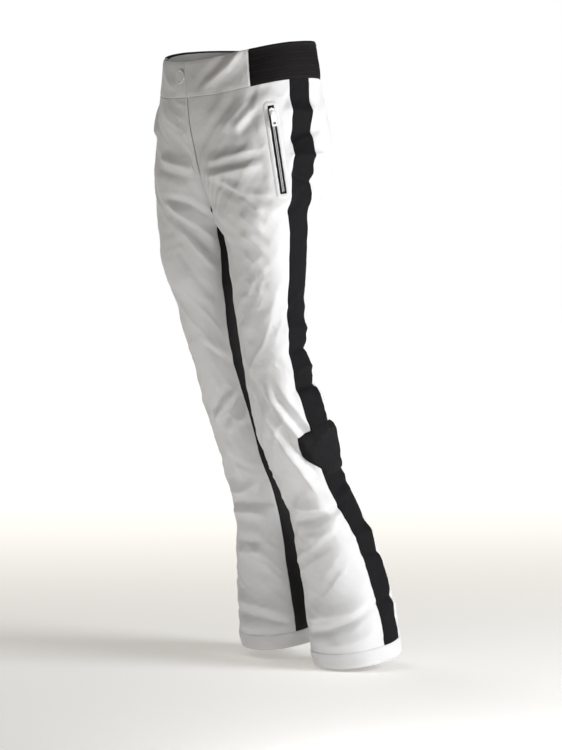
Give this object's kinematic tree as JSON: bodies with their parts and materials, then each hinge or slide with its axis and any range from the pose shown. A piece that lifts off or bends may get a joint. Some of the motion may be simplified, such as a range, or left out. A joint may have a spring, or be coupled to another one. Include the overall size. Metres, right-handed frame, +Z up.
{
  "type": "ski pants",
  "caption": "Stretch ski pants worn over ski boots, with an elasticated waistband, snap and fly zip, zipped side pockets, side stripes, knee shields and flared hems.",
  "frame": {"origin": "centre of the waist opening, level with the top of the waistband at the front", "axes": "+Z up, the front faces -Y, the wearer's left is +X"},
  "size_m": [0.3528, 0.3674, 1.058],
  "materials": {
    "shell": "matte stretch weave",
    "outer_stripe": "ribbed woven tape",
    "inner_stripe": "matte stretch knit",
    "knee_shield": "gathered stretch fabric",
    "ribbed_elastic": "ribbed elastic",
    "lining": "plain woven lining",
    "gaiter": "plain woven nylon",
    "snap_cap": "enamelled",
    "snap_metal": "nickel plated",
    "zip_tape": "woven zip tape",
    "zip_teeth": "plated metal teeth",
    "zip_metal": "polished plate"
  },
  "bodies": {
    "trousers": {"waistband_front_left": "shell", "waistband_front_right": "shell", "waistband_elastic_left": "ribbed_elastic", "waistband_elastic_right": "ribbed_elastic", "waistband_facing": "lining", "waistband_underlap": "shell", "fly_underlap": "shell", "fly_tape": "zip_tape", "fly_teeth": "zip_teeth", "snap_stud": "snap_metal", "front_upper_left": "shell", "front_upper_right": "shell", "back_upper_left": "shell", "back_upper_right": "shell", "stripe_upper_left": "outer_stripe", "stripe_upper_right": "outer_stripe", "inner_stripe_upper_left": "inner_stripe", "inner_stripe_upper_right": "inner_stripe", "pocket_tape_left": "zip_tape", "pocket_tape_right": "zip_tape", "pocket_teeth_left": "zip_teeth", "pocket_teeth_right": "zip_teeth", "pocket_bag_left": "lining", "pocket_bag_right": "lining"},
    "fly_flap": {"waistband_tab": "shell", "fly_placket": "shell", "snap_cap": "snap_cap", "snap_socket": "snap_metal"},
    "fly_slider": {"fly_slider": "zip_metal"},
    "pocket_slider_left": {"pocket_slider_left": "zip_metal"},
    "pocket_slider_right": {"pocket_slider_right": "zip_metal"},
    "pocket_puller_left": {"pocket_puller_left": "zip_metal"},
    "pocket_puller_right": {"pocket_puller_right": "zip_metal"},
    "lower_leg_left": {"front_lower_left": "shell", "back_lower_left": "shell", "stripe_lower_left": "outer_stripe", "inner_stripe_lower_left": "inner_stripe", "front_knee_left": "shell", "back_knee_left": "shell", "stripe_knee_left": "outer_stripe", "inner_stripe_knee_left": "inner_stripe", "knee_shield_left": "knee_shield", "hem_band_left": "shell", "gaiter_left": "gaiter", "gaiter_elastic_left": "ribbed_elastic"},
    "lower_leg_right": {"front_lower_right": "shell", "back_lower_right": "shell", "stripe_lower_right": "outer_stripe", "inner_stripe_lower_right": "inner_stripe", "front_knee_right": "shell", "back_knee_right": "shell", "stripe_knee_right": "outer_stripe", "inner_stripe_knee_right": "inner_stripe", "knee_shield_right": "knee_shield", "hem_band_right": "shell", "gaiter_right": "gaiter", "gaiter_elastic_right": "ribbed_elastic"}
  },
  "joints": [
    {"name": "knee_left", "type": "hinge", "parent": "trousers", "child": "lower_leg_left", "pos_m": [0.08713, 0.07693, -0.63], "axis": [1, 0, 0], "range_deg": [0, 75], "deforming": ["front_knee_left", "back_knee_left", "stripe_knee_left", "inner_stripe_knee_left", "knee_shield_left"]},
    {"name": "knee_right", "type": "hinge", "parent": "trousers", "child": "lower_leg_right", "pos_m": [-0.08713, 0.11569, -0.63], "axis": [1, 0, 0], "range_deg": [0, 75], "deforming": ["front_knee_right", "back_knee_right", "stripe_knee_right", "inner_stripe_knee_right", "knee_shield_right"]},
    {"name": "fly_flap_fold", "type": "hinge", "parent": "trousers", "child": "fly_flap", "pos_m": [-0.042, -0.126, 0], "axis": [0.2098, 0.1898, -0.9591], "range_deg": [0, 30]},
    {"name": "fly_zip", "type": "slide", "parent": "trousers", "child": "fly_slider", "axis": [0, 0.1711, -0.9852], "range_m": [0, 0.09]},
    {"name": "pocket_zip_left", "type": "slide", "parent": "trousers", "child": "pocket_slider_left", "axis": [0.1054, 0.1057, -0.9888], "range_m": [0, 0.1205]},
    {"name": "pocket_puller_left", "type": "hinge", "parent": "pocket_slider_left", "child": "pocket_puller_left", "pos_m": [0.15701, -0.05893, -0.08978], "axis": [-0.3357, -0.9322, -0.1354], "range_deg": [0, 150]},
    {"name": "pocket_zip_right", "type": "slide", "parent": "trousers", "child": "pocket_slider_right", "axis": [-0.1054, 0.1057, -0.9888], "range_m": [0, 0.1205]},
    {"name": "pocket_puller_right", "type": "hinge", "parent": "pocket_slider_right", "child": "pocket_puller_right", "pos_m": [-0.15701, -0.05893, -0.08978], "axis": [-0.3357, 0.9322, 0.1354], "range_deg": [0, 150]}
  ]
}
